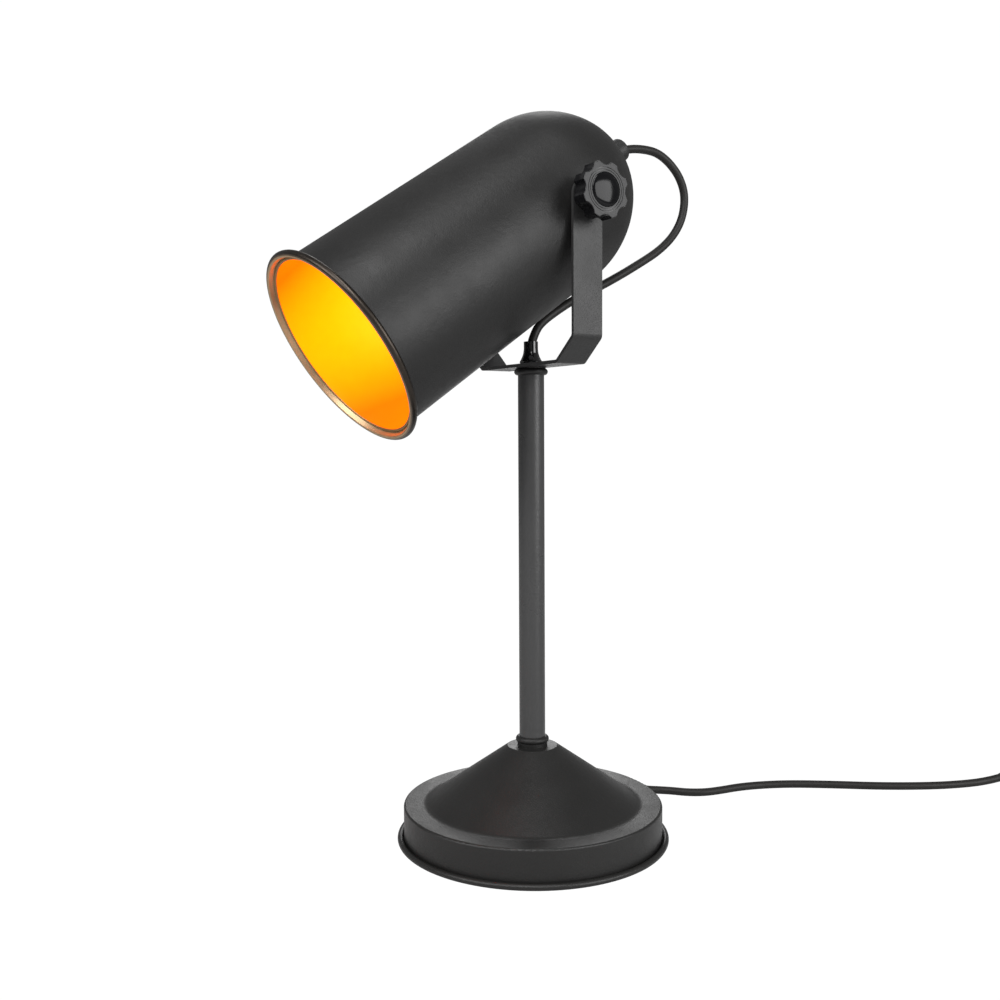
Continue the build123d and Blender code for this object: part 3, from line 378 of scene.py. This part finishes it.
CORD_R = 2.65
DRUM_R = 80.0
EXIT_AZIMUTH = math.radians(103.0)
EXIT_Z = 9.5
EXIT_REACH = 10.0       # how far the bush stands out of the drum
EXIT_RUN = 9.4          # straight run of the cord outside it
EXIT_DROP = 0.9


def exit_point(reach, drop=0.0):
    r = DRUM_R + reach
    return mm(r * math.cos(EXIT_AZIMUTH), r * math.sin(EXIT_AZIMUTH), EXIT_Z - drop)


TO_SWITCH = (
    (76.5, 77.7, 3.9), (86.2, 79.8, 2.8), (96.4, 78.7, 2.65), (107, 75.3, 2.65), (119, 75.5, 2.65),
    (131, 80.2, 2.65), (144, 86.8, 2.65), (160, 91.6, 2.65), (182, 94.6, 2.65), (212, 93.2, 2.65),
    (245, 90.2, 2.65), (281, 91.2, 2.65), (308, 96.6, 2.65), (324, 101.4, 3.4), (338, 104.2, 6.2),
    (350.5, 104.5, 8.5), (363, 104.5, 8.5),
)
TO_COIL = (
    (417, 104.5, 8.5), (431.5, 104.5, 8.5), (446, 100.2, 7), (457.2, 91.2, 5), (463.6, 78.4, 3.8),
    (465.5, 62, 3.55),
)
TO_PLUG = (
    (459.6, 21, 9.45), (454, 7.2, 8.5), (443.6, -3.6, 5.8), (429.9, -9.6, 4.7), (415.4, -11, 6.85),
    (401, -11, 6.85),
)
LOOP = [mm(0, y, z) for y, z in (
    (0.85, 306.4), (3.25, 313.05), (8.65, 319.1), (19.6, 326.4), (35, 335.3), (52, 342.9), (69, 351.5),
    (85, 360.3), (100.3, 369.2), (113, 379.9), (121, 392.6), (123.2, 407.2), (118.6, 418.6), (109.8, 427),
    (99.2, 432.3), (88, 433), (76, 431.8), (70.35, 429.85),
)]
LOOP_RINGS = 150
LOOP_SIDES = 28

COIL = (426.1, 40.0)    # middle of its first half turn
COIL_R = 39.4
COIL_PITCH = 5.9
COIL_LOW = 3.55
HALVES_IN = 7
HALVES_OUT = 6
HALF_STEPS = 8          # control points on each half turn


def coil_points():
    """Half turns inward on the floor, one that climbs, then half turns outward on top of them."""
    right, radius, side = COIL[0], COIL_R, 1
    points = []
    for half in range(HALVES_IN + 1 + HALVES_OUT):
        low = COIL_LOW if half <= HALVES_IN else COIL_LOW + COIL_PITCH
        climb = COIL_PITCH if half == HALVES_IN else 0.0
        # the control points stand a little outside the arc, so that the spline lies on it
        wide = radius / math.cos(math.pi / HALF_STEPS / 2)
        for step in range(HALF_STEPS):
            share = (step + 0.5) / HALF_STEPS
            turn = math.pi * share
            across = right + side * wide * math.cos(turn)
            beyond = COIL[1] - side * wide * math.sin(turn)
            points.append(floor_point(across, beyond, low + climb * share))
        far = right - side * radius
        radius += -COIL_PITCH / 2 if half < HALVES_IN else COIL_PITCH / 2
        right = far + side * radius
        side = -side
    return points


def cord_curve(name, points):
    """A round cord on one NURBS spline."""
    data = bpy.data.curves.new(name, "CURVE")
    data.dimensions = "3D"
    spline = data.splines.new("NURBS")
    spline.points.add(len(points) - 1)
    for point, place in zip(spline.points, points):
        point.co = (*place, 1.0)
    spline.order_u = 3
    spline.use_endpoint_u = True
    spline.resolution_u = 8
    data.bevel_depth = CORD_R * MM
    data.bevel_resolution = 6
    data.use_fill_caps = True
    return show(name, data)


def line_of(curve):
    """Points along a curve's own NURBS line."""
    depth = curve.data.bevel_depth
    curve.data.bevel_depth = 0.0
    bpy.context.view_layer.update()
    graph = bpy.context.evaluated_depsgraph_get()
    mesh = bpy.data.meshes.new_from_object(curve.evaluated_get(graph))
    points = [vertex.co.copy() for vertex in mesh.vertices]
    bpy.data.meshes.remove(mesh)
    curve.data.bevel_depth = depth
    return points


def length_of(points):
    return sum((b - a).length for a, b in zip(points, points[1:]))


def along(points, distance):
    """The point and direction at a distance from the start of a line."""
    for a, b in zip(points, points[1:]):
        run = (b - a).length
        if distance <= run:
            return a + (b - a) * (distance / run), (b - a).normalized()
        distance -= run
    return points[-1].copy(), (points[-1] - points[-2]).normalized()


def sleeve(name, line, profile, look, body=None, sides=40, nodes=()):
    """A tube round a line, closed at both ends. Its profile is (distance along it, radius) in millimetres."""
    work = bmesh.new()
    turns = [2 * math.pi * side / sides for side in range(sides)]
    rings = []
    across = None
    for distance, radius in profile:
        centre, direction = along(line, distance * MM)
        if across is None:
            across = direction.orthogonal().normalized()
        across = (across - across.dot(direction) * direction).normalized()
        other = direction.cross(across)
        spokes = [across * math.cos(turn) + other * math.sin(turn) for turn in turns]
        rings.append([work.verts.new(centre + spoke * radius * MM) for spoke in spokes])
    for low, high in zip(rings, rings[1:]):
        for side in range(sides):
            after = (side + 1) % sides
            work.faces.new((low[side], low[after], high[after], high[side]))
    for ring in (rings[0], rings[-1]):
        work.faces.new(ring)
    return make(name, mesh_of(work, name), body, nodes=nodes, looks=(look,))


def gather_rings(mesh, sides):
    """Moves the vertices of each ring of a tube to the ring's centre, and returns where they were."""
    places = [vertex.co.copy() for vertex in mesh.vertices]
    for first in range(0, len(places), sides):
        centre = sum(places[first:first + sides], Vector()) / sides
        for vertex in mesh.vertices[first:first + sides]:
            vertex.co = centre
    return places


def put_back(mesh, places):
    for vertex, place in zip(mesh.vertices, places):
        vertex.co = place
    mesh.update()


# Mains cord, with its switch, coil and plug

start_points = [exit_point(EXIT_REACH), exit_point(EXIT_REACH + EXIT_RUN, EXIT_DROP)]
mains_points = start_points + [floor_point(*point) for point in TO_SWITCH + TO_COIL]
mains_points += coil_points() + [floor_point(*point) for point in TO_PLUG]
mains = cord_curve("mains_cord_whole", mains_points)
mains.data.materials.append(cord_look.material)
mains_line = line_of(mains)
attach(mains, "stand")
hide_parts("mains_cord", "switch_lead", "cord_coil", "plug_lead")

# Loop of cord behind the shade

loop_curve = cord_curve("loop_line", LOOP)
loop_line = line_of(loop_curve)
bpy.data.objects.remove(loop_curve)
loop_length = length_of(loop_line)
loop_profile = [(loop_length / MM * ring / LOOP_RINGS, CORD_R) for ring in range(LOOP_RINGS + 1)]
loop = sleeve(
    "head_loop", loop_line, loop_profile, cord_look, sides=LOOP_SIDES, nodes=("head_loop_cord",),
)
# each ring's vertices are gathered at its centre while the transform is baked, and then put back where they
# were
loop_places = gather_rings(loop.data, LOOP_SIDES)
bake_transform(loop)
put_back(loop.data, loop_places)

# Shade, in the head's frame: heights run forward from the pivot

SHADE_SIDES = 192
WALL = 0.8
HOLE_R = 5.15           # in the middle of the land at the back
LAND_R = 8.5
DOME_R = 53.75
DOME_END = -8.5         # where the dome meets the wall
DOME_LENGTH = 60.0
CROWN_R = 49.5
CROWN_Z = DOME_END - DOME_LENGTH + CROWN_R
FLANK_R = (DOME_R ** 2 + (DOME_END - CROWN_Z) ** 2 - CROWN_R ** 2) / (2 * (DOME_R - CROWN_R))
LAND_Z = CROWN_Z - math.sqrt(CROWN_R ** 2 - LAND_R ** 2)
MOUTH_R = 54.9
MOUTH_Z = 150.4
ROLL_R = 0.9            # rolled edge inside the bead
BEAD_R = 2.15
BEAD_GROOVE = 0.1
BEAD_AHEAD = 1.3        # of the mouth
WEB_FOOT = 1.6          # where the wall turns out to the bead, behind the mouth
WEB_BACK = 0.5
WEB_FRONT = 0.4
LINING_IN = 0.89        # where the lining starts on the rolled edge
LINING_AHEAD = 0.1
CROWN_STEPS, FLANK_STEPS, WALL_STEPS = 26, 16, 16

SHADE_LOOKS = (black_coat, gold, bronze, edge_look, brown, umber)
OUTSIDE, LINING, BEAD, EDGE, BEAD_SHADED, BEAD_DARK = range(len(SHADE_LOOKS))
BEAD_RUNS = ((205, 422, 21, BEAD_DARK), (422, 446, 5, BEAD_SHADED), (446, 480, 6, BEAD))
ROLL_RUN = (60, 170, 8, EDGE)


def shade_side(inset, look):
    """The dome and wall, from the land's edge to the mouth."""
    lean = math.atan2(DOME_END - CROWN_Z, FLANK_R - DOME_R)
    crown, flank = CROWN_R - inset, FLANK_R - inset
    land = LAND_Z + inset
    first = -math.degrees(math.acos(math.sqrt(crown ** 2 - (CROWN_Z - land) ** 2) / crown))
    points = arc((0, CROWN_Z), crown, first, -math.degrees(lean), CROWN_STEPS, look)
    points += arc((DOME_R - FLANK_R, DOME_END), flank, -math.degrees(lean), 0, FLANK_STEPS, look)[1:]
    for step in range(1, WALL_STEPS + 1):
        share = step / WALL_STEPS
        radius = DOME_R + (MOUTH_R - DOME_R) * share - inset
        points.append((radius, DOME_END + (MOUTH_Z - DOME_END) * share, look))
    return points


def shade_outline():
    """Forward along the outside, round the bead and the rolled edge, and back along the lining."""
    rim = MOUTH_R + ROLL_R
    bead_centre = (rim + BEAD_GROOVE + BEAD_R, MOUTH_Z + BEAD_AHEAD)
    bead = []
    for run in BEAD_RUNS:
        bead = bead[:-1] + arc(bead_centre, BEAD_R, *run)
    points = [(HOLE_R, LAND_Z, OUTSIDE)] + shade_side(0.0, OUTSIDE)[:-1]
    points += [(MOUTH_R, MOUTH_Z - WEB_FOOT, OUTSIDE), (rim, MOUTH_Z - WEB_BACK, OUTSIDE)]
    points += bead + [(rim, MOUTH_Z + WEB_FRONT, EDGE)]
    points += arc((MOUTH_R, MOUTH_Z), ROLL_R, *ROLL_RUN)[:-1]
    points.append((MOUTH_R - LINING_IN, MOUTH_Z + LINING_AHEAD, LINING))
    points += shade_side(WALL, LINING)[-2::-1]
    points.append((HOLE_R, LAND_Z + WALL, LINING))
    return points


shade_mesh = spin("shade", shade_outline(), SHADE_SIDES)
make("shade", shade_mesh, "head", HEAD, ("shade_shell",), SHADE_LOOKS)

# Domed caps, one in each knob, in the box of the flat cap

CAP_DOME = 1.8          # height of the dome
CAP_STEPS = 8
CAP_SIDES = 64
CAP_SMOOTH = 50.0


def knob_cap(side, way):
    low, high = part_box(f"{side}_knob_cap")
    rim = (high[2] - low[2]) / 2 / MM
    foot, face = (low[0], high[0]) if way > 0 else (high[0], low[0])
    wall = abs(face - foot) / MM - CAP_DOME
    outline = [(0.0, 0.0, 0), (rim, 0.0, 0), (rim, wall, 0)]
    for step in range(1, CAP_STEPS + 1):
        lean = math.pi / 2 * step / CAP_STEPS
        outline.append((rim * math.cos(lean), wall + CAP_DOME * math.sin(lean), 0))
    mesh = spin(f"{side}_cap", outline, CAP_SIDES, CAP_SMOOTH, closed=False)
    place = frame_of((foot, 0, PIVOT_Z * MM), (way, 0, 0), UP)
    nodes = (f"{side}_knob_cap",)
    make(f"{side}_cap", mesh, f"{side}_knob_body", place, nodes, (cap_look,))


knob_cap("right", 1)
knob_cap("left", -1)

# Strain reliefs on the cord's own line, tapered and ribbed

RELIEF_GAP = 0.05       # between the cord and the sleeve
RELIEF_WALL = 0.15      # least wall, under a groove
RELIEF_TIP = 3.0        # outer radius at its thin end
RELIEF_BEVEL = (0.5, 0.4)       # its length along the cord, and its depth
PLAIN_SHARE = 0.1       # of its length, at each end
GROOVE = ((0.0, 0.0), (0.08, 0.7), (0.32, 0.7), (0.4, 0.0))     # shares of a rib's pitch, and depths
SWITCH = (390.0, 104.5)
SWITCH_HALF = 36.0
SWITCH_CORD_Z = 8.5


def relief(name, line, start, length, thick, ribs):
    """A sleeve that thins away from its housing, with grooves between its ribs."""
    end = start + length
    profile = [(start, CORD_R + RELIEF_GAP), (start, thick)]
    pitch = length * (1 - 2 * PLAIN_SHARE) / ribs
    for rib in range(ribs):
        low = start + length * PLAIN_SHARE + rib * pitch
        for share, depth in GROOVE:
            at = low + share * pitch
            radius = thick + (RELIEF_TIP - thick) * (at - start) / length
            profile.append((at, max(radius - depth, CORD_R + RELIEF_WALL)))
    profile += [(end - RELIEF_BEVEL[0], RELIEF_TIP), (end, RELIEF_TIP - RELIEF_BEVEL[1])]
    profile.append((end, CORD_R + RELIEF_GAP))
    sleeve(name, line, profile, matt, "stand")


def switch_end(line, side):
    """The distance along a line to where it leaves the switch, in millimetres."""
    place = floor_point(SWITCH[0] + side * SWITCH_HALF, SWITCH[1], SWITCH_CORD_Z)
    nearest = min(range(len(line)), key=lambda index: (line[index] - place).length)
    return length_of(line[:nearest + 1]) / MM


backward = list(reversed(mains_line))
relief("base_strain_relief", mains_line, 0.0, 22.0, 3.9, 6)
relief("switch_relief_out", mains_line, switch_end(mains_line, 1), 22.0, 4.3, 6)
relief("switch_relief_in", backward, switch_end(backward, -1), 22.0, 4.3, 6)
relief("plug_relief", backward, 0.0, 30.0, 4.1, 8)

# Camera, fitted to the photograph: millimetres and degrees

SIGHT = {
    "distance": 657.75, "height": 249.74, "yaw": -1.68, "pitch": -3.44, "roll": -0.32, "lens": 38.69,
    "sensor": 36.0,
}


def set_camera():
    yaw, pitch, roll = (math.radians(SIGHT[key]) for key in ("yaw", "pitch", "roll"))
    ahead = AWAY * math.cos(yaw) + ALONG * math.sin(yaw)
    sideways = ahead.cross(UP)
    look_at = ahead * math.cos(pitch) + UP * math.sin(pitch)
    upright = sideways.cross(look_at)
    camera_x = sideways * math.cos(roll) + upright * math.sin(roll)
    camera_y = upright * math.cos(roll) - sideways * math.sin(roll)
    data = bpy.data.cameras.new("camera")
    data.lens = SIGHT["lens"]
    data.sensor_width = SIGHT["sensor"]
    data.clip_start = 0.01
    camera = show("camera", data)
    place = -AWAY * SIGHT["distance"] * MM + Vector((0, 0, SIGHT["height"] * MM))
    turn = Matrix((camera_x, camera_y, -look_at)).transposed().to_4x4()
    camera.matrix_world = Matrix.Translation(place) @ turn
    bpy.context.scene.camera = camera


set_camera()

# Studio: a pale floor, soft lights and a bright world, both white where the camera sees them

FLOOR_HALF = 6.0
FLOOR_DROP = 0.0003
FLOOR_SEEN = 1.04
WORLD_SEEN = 1.02
WORLD_LIGHT = 0.3
LIGHT_AIM = Vector((0, 0, 0.25))
LAMP_AHEAD = 70.0       # millimetres forward of the pivot


def floor_paint():
    look = Look("studio_floor", (0.5, 0.5, 0.5), 0.7, Specular_IOR_Level=0.1)
    look.vary((0.49, 0.49, 0.49), (0.51, 0.51, 0.51), 3.0)
    look.glow((1, 1, 1), 0.1)
    white = look.add("ShaderNodeEmission", {"Strength": FLOOR_SEEN})
    seen = look.add("ShaderNodeLightPath").outputs["Is Camera Ray"]
    either = look.add("ShaderNodeMixShader", {0: seen, 1: look.shader.outputs[0], 2: white.outputs[0]})
    look.set(look.tree.nodes["Material Output"], "Surface", either.outputs[0])
    return look


def make_floor():
    work = bmesh.new()
    bmesh.ops.create_grid(work, x_segments=8, y_segments=8, size=FLOOR_HALF)
    mesh = bpy.data.meshes.new("studio_floor")
    work.to_mesh(mesh)
    work.free()
    mesh.materials.append(floor_paint().material)
    studio_floor = show("studio_floor", mesh)
    studio_floor.location.z = -FLOOR_DROP


def make_world():
    world = bpy.data.worlds.new("studio")
    world.use_nodes = True
    nodes, links = world.node_tree.nodes, world.node_tree.links
    backdrop = nodes["Background"]
    backdrop.inputs["Color"].default_value = (1, 1, 1, 1)
    backdrop.inputs["Strength"].default_value = WORLD_SEEN
    room = nodes.new("ShaderNodeBackground")
    room.inputs["Strength"].default_value = WORLD_LIGHT
    seen = nodes.new("ShaderNodeLightPath")
    either = nodes.new("ShaderNodeMixShader")
    links.new(seen.outputs["Is Camera Ray"], either.inputs[0])
    links.new(room.outputs[0], either.inputs[1])
    links.new(backdrop.outputs[0], either.inputs[2])
    links.new(either.outputs[0], nodes["World Output"].inputs["Surface"])
    bpy.context.scene.world = world


def soft_light(name, right, toward, height, size, power):
    """An area light, placed in metres to the right, toward the camera and up."""
    data = bpy.data.lights.new(name, "AREA")
    data.shape = "RECTANGLE"
    data.size, data.size_y = size
    data.energy = power
    light = show(name, data)
    place = ALONG * right - AWAY * toward + Vector((0, 0, height))
    light.matrix_world = frame_of(place, place - LIGHT_AIM, UP)


def lamp_light():
    """The bulb's own light, which moves with the head."""
    data = bpy.data.lights.new("lamp_light", "POINT")
    data.energy = 0.05
    data.color = (1.0, 0.82, 0.5)
    data.shadow_soft_size = 0.02
    light = show("lamp_light", data)
    light.location = HEAD @ mm(0, 0, LAMP_AHEAD)
    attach(light, "head")


make_floor()
make_world()
bpy.context.scene.view_settings.view_transform = "Standard"
soft_light("key", 1.3, 0.85, 0.6, (0.8, 1.1), 16)
soft_light("fill", -1.1, 0.95, 1.0, (0.8, 1.2), 15)
soft_light("top", 0.0, 0.9, 1.3, (1.2, 0.5), 12)
soft_light("back", 0.0, -2.0, 0.75, (4.0, 0.6), 16)
lamp_light()
